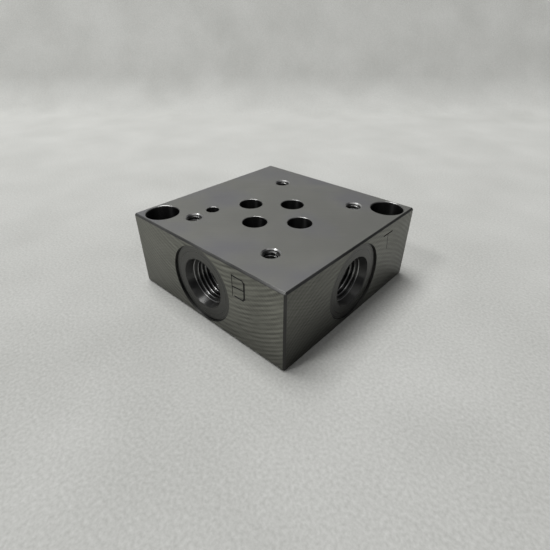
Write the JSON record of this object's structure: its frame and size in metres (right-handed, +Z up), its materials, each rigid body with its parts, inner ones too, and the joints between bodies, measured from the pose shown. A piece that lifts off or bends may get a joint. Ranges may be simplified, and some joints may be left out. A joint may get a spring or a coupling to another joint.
{
  "type": "hydraulic valve subplate",
  "caption": "Square machined iron block that seats a size 03 directional valve on its ground top face, with threaded line ports in its sides and sunk corner holes for holding it down.",
  "frame": {"origin": "centre of the underside, where the block stands on the machine", "axes": "+Z up through the valve face, +X out of the T port face, -Y out of the B port face"},
  "size_m": [0.0636, 0.0636, 0.0254],
  "materials": {
    "ductile_iron": "satin"
  },
  "bodies": {
    "root": {"subplate": "ductile_iron"}
  },
  "joints": []
}
